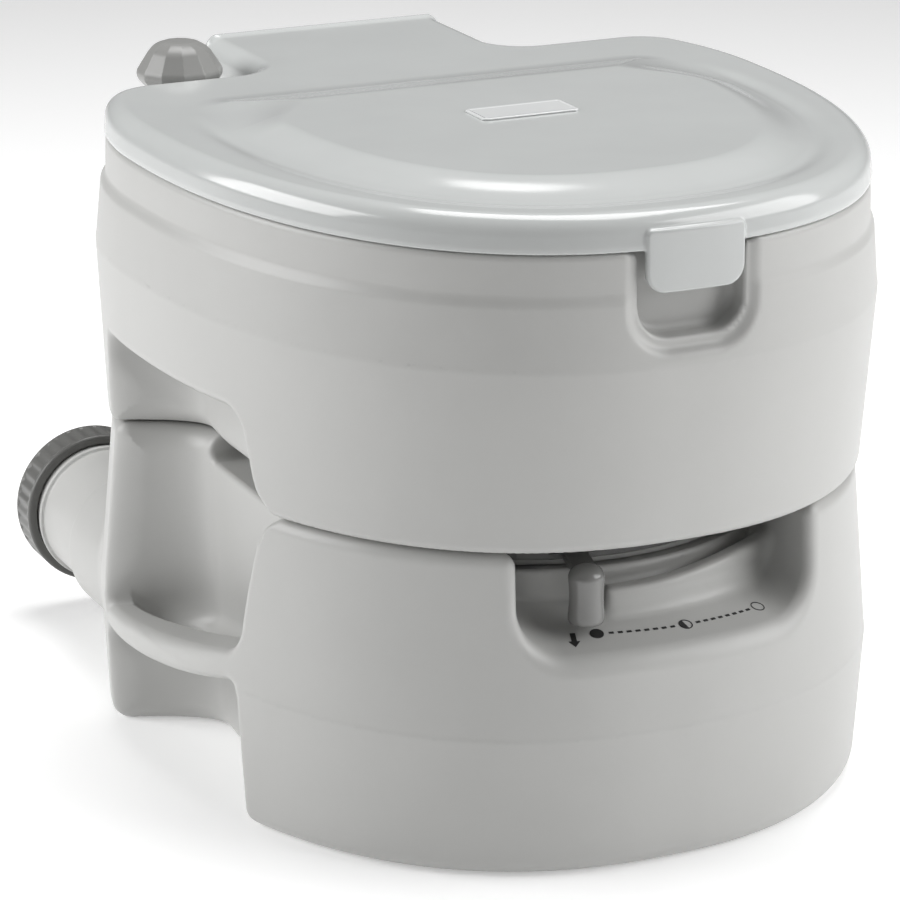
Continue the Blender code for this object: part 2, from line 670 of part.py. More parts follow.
def bowl(frame):
    top, middle, low, outlet = well_levels(0.003)
    base_z = SEAM_Z + 2 * GAP
    outer = stack("bowl", [(outlet, base_z), (outlet, 0.191), (low, 0.2055), (middle, 0.300),
                           (top, RIM_Z - 0.003), (top, RIM_Z + 0.0005)], "bowl_plastic")
    flange_plan = [(x * (BOWL_HALF[0] + 0.009), BOWL_Y + y * (BOWL_HALF[1] + 0.009)) for x, y in circle(1)]
    add(outer, prism("bowl_flange", flange_plan, RIM_Z + GAP, RIM_Z + 0.0015))
    top, middle, low, outlet = well_levels(0.0)
    cut(outer, stack("bowl_inside", [(outlet, 0.170), (outlet, 0.193), (low, 0.2075), (middle, 0.3015),
                                     (top, RIM_Z - 0.003), (top, 0.36)]))
    cut(outer, turned("bowl_nozzle_hole", disc_profile(0.0058, 0.0, 0.050), (NOZZLE_X, WIDE_Y, NOZZLE_Z),
                      steps=12, axis="Y"))
    attach(frame, outer)


# Seat and lid

def hinge_plan(half_x, front, shoulder, tail_half, tail_end, corner, tail_corner):
    """The D of the rim with a tail that runs back to the hinge."""
    reach = 0.72
    arc = super_arc(half_x, front, FRONT_POWER, pi, 2 * pi, 2 * PLAN_STEPS)
    side = super_arc(half_x, REAR_DEPTH, REAR_POWER, 0, radians(30), 4)
    corners = [(x, y, 0) for x, y in arc + side]
    shoulder_y = WIDE_Y + shoulder
    corners.append((half_x * reach * 1.24, shoulder_y, corner))
    corners.append((tail_half, shoulder_y, 0.018))
    corners.append((tail_half, WIDE_Y + tail_end, tail_corner))
    corners.append((-tail_half, WIDE_Y + tail_end, tail_corner))
    corners.append((-tail_half, shoulder_y, 0.018))
    corners.append((-half_x * reach * 1.24, shoulder_y, corner))
    corners.extend((-x, y, 0) for x, y in reversed(side[1:]))
    return fillet_loop(corners)


def seat(frame):
    low, high = RIM_Z + 0.0022, 0.350
    plan = hinge_plan(HALF_WIDTH_TOP - 0.008, FRONT_DEPTH_RIM - 0.008, SHOULDER - 0.008, 0.047, 0.168,
                      0.020, 0.004)
    ring = stack("seat", [(plan, low), (plan, high - 0.003), (offset_loop(plan, 0.003), high)],
                 "lid_plastic")
    hole = [(x * 0.094, BOWL_Y + y * 0.121) for x, y in circle(1)]
    wide_hole = [(x * 0.099, BOWL_Y + y * 0.126) for x, y in circle(1)]
    cut(ring, stack("seat_hole", [(hole, 0.33), (hole, high - 0.004), (wide_hole, high), (wide_hole, 0.36)]))
    root = [(WIDE_Y + 0.160, low), (HINGE_Y, HINGE_Z - 0.002), (HINGE_Y, HINGE_Z + KNUCKLE_R * 0.95),
            (WIDE_Y + 0.160, HINGE_Z + 0.008)]
    add(ring, knuckle("left_seat_eye", -0.0475, -0.0375, root),
        knuckle("right_seat_eye", 0.0375, 0.0475, root))
    cut(ring, hinge_bore("seat_bore"))
    attach(frame, ring)
    for i, (x, back) in enumerate(((-0.135, -0.16), (0.135, -0.16), (-0.150, 0.02), (0.150, 0.02))):
        attach(frame, turned(f"seat_bumper_{i + 1}", disc_profile(0.006, RIM_Z + GAP, RIM_Z + 0.0019),
                             at(x, back, 0), "black_rubber", steps=12))


def lid_skirt(frame, plan, inner):
    """The upright edge under the lid's top plate, open behind the hinge, with the front tab."""
    skirt = prism("lid_skirt", plan, RIM_Z + GAP, SKIRT_TOP_Z - GAP, "lid_plastic")
    tab = fillet_loop([(-TAB_HALF, RIM_Z - TAB_DROP, 0.018), (TAB_HALF, RIM_Z - TAB_DROP, 0.018),
                       (TAB_HALF, SKIRT_TOP_Z - GAP, 0), (-TAB_HALF, SKIRT_TOP_Z - GAP, 0)])
    face = WIDE_Y - FRONT_DEPTH_RIM - 0.0015
    add(skirt, loft("lid_tab", [[(x, face + 0.0045, z) for x, z in tab], [(x, face, z) for x, z in tab]]))
    cut(skirt, prism("skirt_inside", inner, 0.32, 0.36),
        box("hinge_side", at(-0.063, LID_NOTCH, 0.30), at(0.063, 0.25, 0.36)))
    attach(frame, skirt)


def lid(frame):
    plan = hinge_plan(HALF_WIDTH_TOP, FRONT_DEPTH_RIM, SHOULDER, TAIL_HALF, TAIL_END, 0.024, 0.008)
    inner = offset_loop(plan, 0.003)
    lid_skirt(frame, plan, inner)
    shell = stack("lid", [(plan, SKIRT_TOP_Z), (plan, 0.3505), (offset_loop(plan, 0.002), 0.3540),
                          (offset_loop(plan, 0.0055), LID_TOP_Z)], "lid_plastic")
    panel = [super_panel(grow) for grow in (0.0, -0.010, -0.024)]
    add(shell, stack("lid_panel", [(panel[0], LID_TOP_Z - 0.002), (panel[0], LID_TOP_Z + 0.0005),
                                   (panel[1], PANEL_Z - 0.0022), (panel[2], PANEL_Z)]))
    cut(shell, stack("lid_inside", [(inner, 0.32), (inner, SKIRT_TOP_Z),
                                    (offset_loop(plan, 0.0065), 0.3528)]))
    cut(shell, stack("panel_inside", [(super_panel(-0.008), 0.35), (super_panel(-0.014), 0.3578),
                                      (super_panel(-0.026), 0.3598)]))
    add(shell, box("rear_lip", at(-0.049, TAIL_END - 0.003, RIM_Z + GAP), at(0.049, TAIL_END, 0.3535)))
    root = [(HINGE_Y - 0.006, HINGE_Z), (HINGE_Y + 0.006, HINGE_Z), (HINGE_Y + 0.008, 0.354),
            (HINGE_Y - 0.008, 0.354)]
    add(shell, knuckle("left_lid_eye", -0.036, -0.026, root), knuckle("right_lid_eye", 0.026, 0.036, root))
    cut(shell, hinge_bore("lid_bore"))
    badge_plan = fillet_loop([(0.032, BOWL_Y + 0.0185, 0.003), (-0.032, BOWL_Y + 0.0185, 0.003),
                              (-0.032, BOWL_Y - 0.0065, 0.003), (0.032, BOWL_Y - 0.0065, 0.003)], 2)
    badge = prism("lid_badge", badge_plan, PANEL_Z + GAP, PANEL_Z + 0.0012, "tank_plastic")
    attach(frame, shell, badge)
    for i, (x, back) in enumerate(((-0.120, -0.18), (0.120, -0.18), (-0.160, 0.045), (0.160, 0.045))):
        attach(frame, turned(f"lid_bumper_{i + 1}", disc_profile(0.005, 0.3503, 0.3525), at(x, back, 0),
                             "black_rubber", steps=12))


def super_panel(grow):
    """The raised panel on the lid: a D with a straight rear edge and round corners."""
    corners = []
    for i in range(17):
        angle = pi + pi * i / 16
        c, s = cos(angle), sin(angle)
        x = (0.149 + grow) * abs(c) ** 0.82 * (1 if c >= 0 else -1)
        corners.append((x, WIDE_Y - 0.035 - (0.214 + grow) * abs(s) ** 0.88, 0))
    corners.append((0.138 + grow, WIDE_Y + 0.042 + grow, 0.018))
    corners.append((-0.138 - grow, WIDE_Y + 0.042 + grow, 0.018))
    return fillet_loop(corners)


# Pump and filler

def pump(frame):
    centre = (*PUMP_XY, 0)
    barrel_profile = [(BARREL_BORE_R, 0.197), (BARREL_R, 0.197), (BARREL_R, DECK_Z + GAP),
                      (0.019, DECK_Z + GAP), (0.019, 0.3153), (BARREL_BORE_R, 0.3153)]
    barrel = turned("pump_barrel", barrel_profile, centre, "valve_plastic", steps=24)
    collar = turned("pump_collar", [(ROD_R + 0.0005, 0.3156), (0.0205, 0.3156), (0.0205, 0.330),
                                    (0.0185, 0.3440), (ROD_R + 0.0005, 0.3440)], centre, "grey_plastic",
                    steps=24)
    inlet = turned("pump_inlet_valve", ring_profile(0.004, BARREL_BORE_R - GAP, 0.1985, 0.2045), centre,
                   "black_rubber", steps=20)
    outlet = Vector((NOZZLE_X, WIDE_Y + 0.060)) - Vector(PUMP_XY)
    outlet.normalize()
    start = Vector(PUMP_XY) + outlet * (BARREL_R + 0.0006)
    route = [(start.x, start.y), (-0.050, WIDE_Y + 0.074), (-0.036, WIDE_Y + 0.062),
             (NOZZLE_X, WIDE_Y + 0.053), (NOZZLE_X, WIDE_Y + 0.0466)]
    route = [(x, y, NOZZLE_Z) for x, y in route]
    pipe = tube("flush_pipe", route, 0.0045, "black_rubber")
    nozzle = turned("flush_nozzle", [(0, 0.016), (0.0035, 0.016), (0.0050, 0.022), (0.0052, 0.0461),
                                     (0, 0.0461)], (NOZZLE_X, WIDE_Y, NOZZLE_Z), "grey_plastic",
                    steps=16, axis="Y")
    attach(frame, barrel, collar, inlet, pipe, nozzle)

    plunger = pivot("pump_axis", (*PUMP_XY, 0.3455), frame)
    rod = turned("pump_rod", disc_profile(ROD_R, 0.216, 0.3520), centre, "steel", steps=16)
    bore = ROD_R + GAP
    piston = turned("pump_piston", [(bore, 0.220), (0.0105, 0.220), (0.0105, 0.2235), (0.0085, 0.2235),
                                    (0.0085, 0.2285), (0.0105, 0.2285), (0.0105, 0.232), (bore, 0.232)],
                    centre, "valve_plastic", steps=20)
    ring = turned("piston_ring", ring_profile(0.0088, 0.0107, 0.2238, 0.2282), centre, "black_rubber",
                  steps=20)
    profile = [(0, 0.3455), (0.0190, 0.3455), (0.0255, 0.3540), (0.0255, 0.3565), (0.0168, 0.3702),
               (0.0140, 0.3720), (0, 0.3720)]
    knob = turned("pump_knob", profile, centre, "grey_plastic", steps=10)
    cut(knob, turned("knob_socket", disc_profile(ROD_R + GAP, 0.34, 0.3523), centre, steps=16))
    attach(plunger, rod, piston, ring, knob)


def tube(name, route, radius, material):
    curve = bpy.data.curves.new(name, "CURVE")
    curve.dimensions = "3D"
    curve.bevel_depth = radius
    curve.bevel_resolution = 2
    curve.use_fill_caps = True
    spline = curve.splines.new("POLY")
    spline.points.add(len(route) - 1)
    for point, place in zip(spline.points, route):
        point.co = (*place, 1)
    curve.materials.append(MATERIALS[material])
    item = bpy.data.objects.new(name, curve)
    bpy.context.collection.objects.link(item)
    return item


def filler(frame):
    centre = (*FILL_XY, 0)
    gasket = turned("fill_cap_seal", ring_profile(0.0225, 0.0280, DECK_Z + GAP, DECK_Z + 0.0015), centre,
                    "black_rubber", steps=24)
    attach(frame, gasket)
    cap_frame = pivot("fill_cap_axis", (*FILL_XY, DECK_Z), frame)
    cap = turned("fill_cap", [(0, 0.300), (0.0210, 0.300), (0.0210, DECK_Z + 0.0018),
                              (0.0300, DECK_Z + 0.0018), (0.0300, 0.3235), (0.0275, 0.3265), (0, 0.3265)],
                 centre, "grey_plastic", steps=24)
    grip = box("fill_cap_grip", (FILL_XY[0] - 0.004, FILL_XY[1] - 0.022, 0.325),
               (FILL_XY[0] + 0.004, FILL_XY[1] + 0.022, 0.334))
    add(cap, grip)
    attach(cap_frame, cap)


clear_scene()
PLACES = {}
MATERIALS = {name: make_material(name) for name in COLOURS}
waste_tank()
pour_spout()
spout_cap()
valve_housing()
valve_lever()
valve_blade()
lift_frame = pivot("flush_tank_axis", at(0, 0, SEAM_Z))
flush_tank(lift_frame)
bowl(lift_frame)
hinge_pins(lift_frame)
pump(lift_frame)
filler(lift_frame)
seat_frame = pivot("seat_axis", (0, HINGE_Y, HINGE_Z), lift_frame)
seat(seat_frame)
lid_frame = pivot("lid_axis", (0, HINGE_Y, HINGE_Z), seat_frame)
lid(lid_frame)
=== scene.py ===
"""Looks of the portable camp toilet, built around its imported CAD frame.

The moulded parts are smooth implicit surfaces: each is a function of x, y and z that is negative
inside the plastic, written with rounded unions and cuts, meshed on a grid and then pulled exactly
onto its zero level. Metres, +Z up, the user faces -Y.
"""
import json
from math import cos, pi, radians, sin

import bmesh
import bpy
import numpy as np
import openvdb
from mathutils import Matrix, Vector


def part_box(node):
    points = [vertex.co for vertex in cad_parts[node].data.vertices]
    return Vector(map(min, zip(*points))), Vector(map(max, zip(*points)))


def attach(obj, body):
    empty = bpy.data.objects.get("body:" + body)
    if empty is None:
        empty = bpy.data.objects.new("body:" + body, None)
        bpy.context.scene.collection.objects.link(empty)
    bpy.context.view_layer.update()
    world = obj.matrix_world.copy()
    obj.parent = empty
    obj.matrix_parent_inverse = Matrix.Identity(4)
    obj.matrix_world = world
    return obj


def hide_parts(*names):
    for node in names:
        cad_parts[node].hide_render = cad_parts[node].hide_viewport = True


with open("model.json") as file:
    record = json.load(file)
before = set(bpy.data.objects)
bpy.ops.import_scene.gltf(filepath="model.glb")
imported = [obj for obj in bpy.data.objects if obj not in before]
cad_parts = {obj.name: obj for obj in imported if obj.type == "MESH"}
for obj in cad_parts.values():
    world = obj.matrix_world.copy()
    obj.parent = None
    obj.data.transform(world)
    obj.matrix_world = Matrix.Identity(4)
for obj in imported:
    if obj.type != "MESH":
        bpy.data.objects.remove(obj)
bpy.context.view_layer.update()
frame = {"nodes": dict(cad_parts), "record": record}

# Driving dimensions: the CAD part's, apart from ARCH_Z, the height of the flush tank's side arch
WIDE_Y = 0.0195
SEAM_Z = 0.178
RIM_Z = 0.337
DECK_Z = 0.312
HALF_LOW = 0.1955
HALF_TOP = 0.192
REAR_DEPTH = 0.195
VALVE_Y = WIDE_Y - 0.085
BOWL_Y = WIDE_Y - 0.090
HINGE_Y = WIDE_Y + 0.180
HINGE_Z = 0.340
RECESS_X = 0.147
ARCH_Z = 0.231
WASTE_PARTING, FLUSH_PARTING = 0.078, 0.278
SPOUT_X, SPOUT_Z = -0.137, 0.065
PORT_X, PORT_Y = 0.1145, WIDE_Y + 0.127
PIN_R, EYE_R = 0.0028, 0.006
WELL_R, WELL_Z = 0.130, 0.1502
BLOCK_R = (0.1395, 0.150)
BLOCK_ANGLES = (radians(-9), radians(36))
MARK_ANGLES = (radians(-12.1), radians(4.9), radians(21.4))
LEVER_R, LEVER_ANGLE = 0.163, radians(-14)
LID_FRONT = 0.284
TAIL_HALF = 0.076
SHOULDER = 0.097
GAP = 0.0003

COARSE = 1.0


# Implicit shapes

def rmax(a, b, radius):
    """The part inside both, with a rounded edge."""
    u = np.maximum(a + radius, 0)
    v = np.maximum(b + radius, 0)
    return np.minimum(np.maximum(a, b), -radius) + np.sqrt(u * u + v * v)


def rmin(a, b, radius):
    """The part inside either, with a filleted corner."""
    return -rmax(-a, -b, radius)


def cut(body, tool, radius):
    return rmax(body, -tool, radius)


def oval(x, y, half_x, half_y, power):
    """Distance to a superellipse about the origin."""
    ax = np.abs(x) / half_x + 1e-6
    ay = np.abs(y) / half_y + 1e-6
    total = ax ** power + ay ** power
    level = total ** (1 / power)
    slope = total ** (1 / power - 1) * np.sqrt((ax ** (power - 1) / half_x) ** 2
                                               + (ay ** (power - 1) / half_y) ** 2)
    return (level - 1) / slope


def tank_side(x, y, half, front, rear=REAR_DEPTH):
    """Distance to the tanks' plan: fuller at the front, rounder at the rear."""
    back = y - WIDE_Y
    front_part = oval(x, np.minimum(back, 0), half, front, 2.3)
    rear_part = oval(x, np.maximum(back, 0), half, rear, 2.1)
    return np.where(back < 0, front_part, rear_part)


def from_hinge(y, z):
    """Distance to the axis that the seat and the lid share."""
    return np.sqrt((y - HINGE_Y) ** 2 + (z - HINGE_Z) ** 2)


def from_valve(x, y):
    """Distance to the valve's upright axis."""
    return np.sqrt(x * x + (y - VALVE_Y) ** 2)


def span(value, low, high):
    return np.maximum(low - value, value - high)


def round_box(x, y, z, low, high, radius):
    parts = [span(value, a, b) for value, a, b in zip((x, y, z), low, high)]
    return rmax(rmax(parts[0], parts[1], radius), parts[2], radius)


def step(value, low, high):
    t = np.clip((value - low) / (high - low), 0, 1)
    return t * t * (3 - 2 * t)


def skin(name, field, low, high, voxel):
    """The mesh of a field's zero level inside a box, with exact points and normals."""
    voxel = voxel * COARSE
    axes = [np.arange(a - 2 * voxel, b + 3 * voxel, voxel) for a, b in zip(low, high)]
    values = field(axes[0][:, None, None], axes[1][None, :, None], axes[2][None, None, :])
    values = np.broadcast_to(values, [len(axis) for axis in axes])
    grid = openvdb.FloatGrid(1.0)
    grid.copyFromArray(np.ascontiguousarray(values / voxel, dtype=np.float32))
    points, quads = grid.convertToQuads(isovalue=0.0)
    points = points.astype(float) * voxel + np.array([axis[0] for axis in axes])
    for _ in range(4):
        value, normal = gradient(field, points)
        points -= np.clip(value, -voxel, voxel)[:, None] * normal
    _, normal = gradient(field, points)
    mesh = bpy.data.meshes.new(name)
    mesh.from_pydata(points.tolist(), [], quads.tolist())
    mesh.update()
    mesh.shade_smooth()
    mesh.normals_split_custom_set_from_vertices(normal.tolist())
    item = bpy.data.objects.new(name, mesh)
    bpy.context.collection.objects.link(item)
    return item


def gradient(field, points, reach=2e-4):
    """The distance estimate at each point and the unit direction in which it grows."""
    x, y, z = points.T
    slopes = np.stack([field(x + reach, y, z) - field(x - reach, y, z),
                       field(x, y + reach, z) - field(x, y - reach, z),
                       field(x, y, z + reach) - field(x, y, z - reach)], axis=1) / (2 * reach)
    size = np.maximum(np.linalg.norm(slopes, axis=1), 1e-6)
    return field(x, y, z) / size, slopes / size[:, None]


# Waste tank

def waste_side(x, y, z):
    """Distance to the waste tank's outer wall, which swells out to a faint parting line."""
    swell = np.interp(z, (0, WASTE_PARTING, SEAM_Z), (0.0028, 0.0066, -0.0028))
    return tank_side(x, y, HALF_LOW, 0.261 + 0.010 * z / SEAM_Z) - swell \
        + 0.00018 * np.tanh((z - WASTE_PARTING) / 0.0007)


def side_cutter(x, y, z, inner_radius=0.012):
    """The side recess: a flat wall that flares out to the rear, and a front edge that leans forward
    towards the seam."""
    back = y - WIDE_Y
    t = np.maximum((back + 0.004) / 0.050, 0)
    wall = RECESS_X + 0.04 * (z - 0.09) + 0.056 * t ** 2.3 - np.abs(x)
    lean = 0.0095 * np.exp(-((z - SEAM_Z) / 0.045) ** 2) + 0.010 * np.exp(-((z - SEAM_Z) / 0.009) ** 2)
    return rmax(wall * 0.9, -0.1215 - lean - back, inner_radius)


def recess_rounding(y, far):
    """Edge radius of the side recess: crisp at the front and along the grip or the arch, and a soft
    post at the rear."""
    return 0.0062 + 0.0128 * step(y - WIDE_Y, -0.03, 0.045) * step(far, 0.012, 0.035)


def sector(x, y, first, last, radius):
    """A wedge about the valve axis between two angles from the front."""
    back = y - VALVE_Y
    right = x * cos(last) + back * sin(last)
    left = -(x * cos(first) + back * sin(first))
    return rmax(right, left, radius)


def recess_floor(x, y):
    """Height of the lever recess's floor, which falls towards the front."""
    return 0.1255 + 0.30 * (0.166 - from_valve(x, y))


def lever_recess(x, y, z):
    """The space around the lever in the front wall, less the curved block on its floor."""
    radius = from_valve(x, y)
    space = rmax(np.abs(x - 0.00375) - 0.08425, (recess_floor(x, y) - z) * 0.95, 0.025)
    space = rmax(space, rmin(0.134 - radius, 0.1515 - z, 0.002), 0.002)
    space = rmax(space, y - WIDE_Y + 0.170, 0.006)
    wedge = sector(x, y, *BLOCK_ANGLES, 0.004)
    crest_z = 0.1445 + 0.0055 * step(x, -0.01, 0.075)
    crest = rmax(rmax(span(radius, *BLOCK_R), z - crest_z, 0.0035), wedge, 0.004)
    base = rmax(rmax(radius - BLOCK_R[1], z - 0.139, 0.002), wedge, 0.006)
    return cut(space, rmin(crest, base, 0.003), 0.007)


def waste_tank(x, y, z):
    """The lower tank: side recesses above and below each grip, a notch behind the seam, the lever
    recess, the valve's well and inlet, and the spout's collar."""
    side = waste_side(x, y, z)
    body = rmax(side, z - (SEAM_Z - GAP), 0.0075)
    body = rmax(body, -z, 0.010)
    cutter = side_cutter(x, y, z)
    u = np.clip((0.030 + WIDE_Y - y) / 0.150, -0.3, 1.2)
    hollow = np.clip(-side - 0.015 - 0.015 * u, 0, 0.015)
    grip_top = 0.0735 + 0.016 * u + 0.009 * u * u - hollow
    grip_low = 0.0585 + 0.006 * u + 0.017 * u * u
    rounding = recess_rounding(y, np.abs(z - 0.0655 - 0.02 * u))
    body = cut(body, rmax(cutter, (grip_top - z) * 0.95, 0.011), rounding)
    body = cut(body, rmax(cutter, z - grip_low, 0.010), rounding)
    back = y - WIDE_Y
    notch = rmax(rmax(0.163 - z, back, 0.006), -0.135 - back, 0.003)
    body = cut(body, rmax(notch, 0.128 - np.abs(x), 0.002), 0.0030)
    body = cut(body, lever_recess(x, y, z), 0.0085)
    radius = from_valve(x, y)
    well = rmax(radius - WELL_R, WELL_Z - z, 0.002)
    inlet = rmax(radius - 0.0455, 0.030 - z, 0.004)
    body = cut(body, rmin(well, inlet, 0.001), 0.002)
    pipe = np.sqrt((x - SPOUT_X) ** 2 + (z - SPOUT_Z) ** 2)
    collar = rmax(rmax(pipe - 0.0440, 0.083 - back, 0.002), back - 0.158, 0.003)
    body = rmin(body, collar, 0.006)
    return cut(body, rmax(pipe - 0.0397, 0.125 - back, 0.001), 0.001)


# Lid, seat and bowl

def lid_plan(x, y, half=HALF_TOP, front=LID_FRONT, shoulder=SHOULDER, tail=TAIL_HALF, end=0.197,
             corner=0.024, tail_corner=0.008):
    """Distance to the D of the rim with a tail that runs back to the hinge."""
    back = y - WIDE_Y
    shape = rmax(tank_side(x, y, half, front), back - shoulder, corner)
    strip = rmax(rmax(np.abs(x) - tail, back - end, tail_corner), -back, 0.001)
    return rmin(shape, strip, 0.020)


def panel_plan(x, y):
    """Distance to the foot of the raised panel."""
    back = y - WIDE_Y
    arc = oval(x, np.minimum(back + 0.035, 0), 0.149, 0.214, 2.35)
    sides = np.abs(x) - 0.149 + 0.06 * np.maximum(back + 0.035, 0)
    shape = np.where(back < -0.035, arc, sides)
    return rmax(shape, back - 0.044, 0.022)


def knuckles(x, y, z, ranges):
    """Hinge eyes about the hinge axis at each of the given places along X."""
    eye = from_hinge(y, z) - EYE_R
    return [rmax(eye, span(np.abs(x), low, high), 0.001) for low, high in ranges]


def lid_top(x, y):
    """Height of the lid's outer surface inside its outline."""
    foot = panel_plan(x, y)
    rear = step(y - WIDE_Y, -0.060, 0.010)
    rise = 0.0067 * step(-foot / (0.026 + 0.034 * rear), 0, 1)
    groove = 0.0012 * (1 - rear) * np.exp(-((foot - 0.006) / 0.006) ** 2)
    rear_lip = 0.0026 * np.exp(-((y - WIDE_Y - 0.1905) / 0.0032) ** 2)
    return 0.3563 + rise - groove + rear_lip


def lid(x, y, z):
    """A thin shell with a tab at the front and hinge eyes under its tail."""
    plan = lid_plan(x, y)
    top = (z - lid_top(x, y)) * 0.95
    lean = plan + 0.10 * np.maximum(z - 0.340, 0)
    outer = rmax(rmax(lean, top, 0.0095), RIM_Z + GAP - z, 0.0015)
    inner = rmax(plan + 0.0036, top + 0.0034, 0.0065)
    body = cut(outer, inner, 0.0008)
    face = WIDE_Y - LID_FRONT
    tab = rmax(rmax(np.abs(x) - 0.0272, 0.3153 - z, 0.0105), z - 0.3480, 0.003)
    bulge = LID_FRONT * 0.435 * (np.abs(x) / HALF_TOP) ** 2.3
    tab = rmax(tab, span(y - face - bulge, -0.0015, 0.0030), 0.0014)
    body = rmin(body, tab, 0.0015)
    for eye in knuckles(x, y, z, ((0.026, 0.036),)):
        web = round_box(np.abs(x), y, z, (0.026, HINGE_Y - 0.005, HINGE_Z),
                        (0.036, HINGE_Y + 0.005, 0.354), 0.001)
        body = rmin(body, rmin(eye, web, 0.002), 0.002)
    notch = rmax(span(np.abs(x), 0.049, 0.063), span(z, 0.30, 0.3505), 0.001)
    notch = rmax(notch, WIDE_Y + 0.187 - y, 0.001)
    body = cut(body, notch, 0.0008)
    return cut(body, from_hinge(y, z) - PIN_R, 0.0004)


def seat(x, y, z):
    """A flat ring with softly crowned edges and hinge eyes on its tail."""
    plan = lid_plan(x, y, HALF_TOP - 0.008, 0.276, SHOULDER - 0.008, 0.047, 0.168, 0.020, 0.004)
    hole = oval(x, y - BOWL_Y, 0.094, 0.121, 2.0)
    crown = 0.3499 - 0.0012 * (1 - step(-plan, 0.0, 0.020)) - 0.0018 * (1 - step(hole, 0.0, 0.020))
    body = rmax(rmax(plan, z - crown, 0.0042), RIM_Z + 0.0022 - z, 0.002)
    body = cut(body, hole, 0.004)
    for eye in knuckles(x, y, z, ((0.0375, 0.0475),)):
        web = round_box(np.abs(x), y, z, (0.0375, WIDE_Y + 0.155, HINGE_Z - 0.0005),
                        (0.0475, HINGE_Y, HINGE_Z + 0.0058), 0.001)
        body = rmin(body, rmin(eye, web, 0.001), 0.002)
    return cut(body, from_hinge(y, z) - PIN_R, 0.0004)


def bowl_size(z):
    """Half width, half length and centre of the bowl's inside at a height."""
    up = np.clip((z - 0.2075) / (0.334 - 0.2075), 0, 1) ** 0.72
    down = np.clip((0.2075 - z) / 0.0145, 0, 1)
    ease = 0.0155 * (down * down * (3 - 2 * down))
    half_x = 0.052 + 0.046 * up - ease
    half_y = 0.052 + 0.073 * up - ease
    return half_x, half_y, VALVE_Y + (BOWL_Y - VALVE_Y) * up


def bowl_wall(x, y, z, grow):
    half_x, half_y, middle = bowl_size(z)
    return oval(x, y - middle, half_x + grow, half_y + grow, 2.0)


def bowl(x, y, z):
    outer = rmax(bowl_wall(x, y, z, 0.0027), span(z, SEAM_Z + 0.0007, RIM_Z + 0.001), 0.0005)
    flange = rmax(oval(x, y - BOWL_Y, 0.107, 0.134, 2.0), span(z, RIM_Z + GAP, RIM_Z + 0.0016), 0.0005)
    body = cut(rmin(outer, flange, 0.0008), bowl_wall(x, y, z, 0.0), 0.001)
    nozzle = np.sqrt((x + 0.03) ** 2 + (z - 0.300) ** 2) - 0.0056
    return cut(body, rmax(nozzle, BOWL_Y - y, 0.0), 0.0008)


# Flush tank

def finger_pocket(x, y, z):
    """Two steps: a shallow outer scoop and the deep pocket inside it."""
    deep = rmax(rmax(np.abs(x) - 0.0295, 0.2905 - z, 0.018), y - (WIDE_Y - 0.2660), 0.004)
    shallow = rmax(rmax(np.abs(x) - 0.0340, 0.2845 - z, 0.022), y - (WIDE_Y - 0.2790), 0.003)
    return rmin(deep, shallow, 0.002)


def flush_side(x, y, z):
    """Distance to the flush tank's outer wall, with its faint parting line."""
    t = (z - SEAM_Z) / (RIM_Z - SEAM_Z)
    swell = np.interp(z, (SEAM_Z, FLUSH_PARTING, RIM_Z), (-0.0010, 0.0052, 0.0003))
    return tank_side(x, y, HALF_LOW + (HALF_TOP - HALF_LOW) * t, 0.271 + 0.013 * t) - swell \
        + 0.00018 * np.tanh((z - FLUSH_PARTING) / 0.0007)


def flush_tank(x, y, z):
    """The upper tank: a rear deck round the lid's tail, side arches, the finger pocket, the hinge
    lugs, and the openings for the bowl, the pump and the filler."""
    body = rmax(rmax(flush_side(x, y, z), SEAM_Z + GAP - z, 0.0045), z - RIM_Z, 0.003)
    back = y - WIDE_Y
    keep = rmax(lid_plan(x, y), back - 0.158, 0.004)
    body = cut(body, rmax(-keep, DECK_Z - z, 0.005), 0.003)
    arch = rmax(side_cutter(x, y, z), z - ARCH_Z, 0.012)
    body = cut(body, arch, recess_rounding(y, ARCH_Z - z))
    body = cut(body, finger_pocket(x, y, z), 0.0050)
    lug = from_hinge(y, z) - EYE_R
    root = round_box(x * 0, y, z, (-1, WIDE_Y + 0.150, 0.3335), (1, HINGE_Y, HINGE_Z + 0.0045), 0.001)
    lug = rmax(rmin(lug, root, 0.002), span(np.abs(x), 0.050, 0.062), 0.001)
    body = rmin(body, lug, 0.002)
    body = cut(body, bowl_wall(x, y, z, 0.0034), 0.002)
    pump = np.sqrt((x + PORT_X) ** 2 + (y - PORT_Y) ** 2) - 0.0134
    fill = np.sqrt((x - PORT_X) ** 2 + (y - PORT_Y) ** 2) - 0.0220
    body = cut(body, rmax(rmin(pump, fill, 0.0), 0.185 - z, 0.002), 0.001)
    return cut(body, from_hinge(y, z) - PIN_R, 0.0004)


# Small parts

def knob(x, y, z):
    """A twelve-sided cone with soft corners and a flat top."""
    dx, dy = x + PORT_X, y - PORT_Y
    angle = np.arctan2(dy, dx)
    sides = 12
    fold = np.abs((angle / (2 * pi / sides)) % 1 - 0.5) * (2 * pi / sides)
    reach = np.sqrt(dx * dx + dy * dy)
    flat = reach * np.cos(pi / sides - fold)
    cone = (flat - 0.0243 + 0.62 * (z - 0.3537)) * 0.85
    under = (flat - 0.0243 - 0.75 * (z - 0.3515)) * 0.80
    body = rmax(rmax(cone, under, 0.0038), z - 0.3706, 0.0062)
    return rmax(body, 0.3455 - z, 0.001)


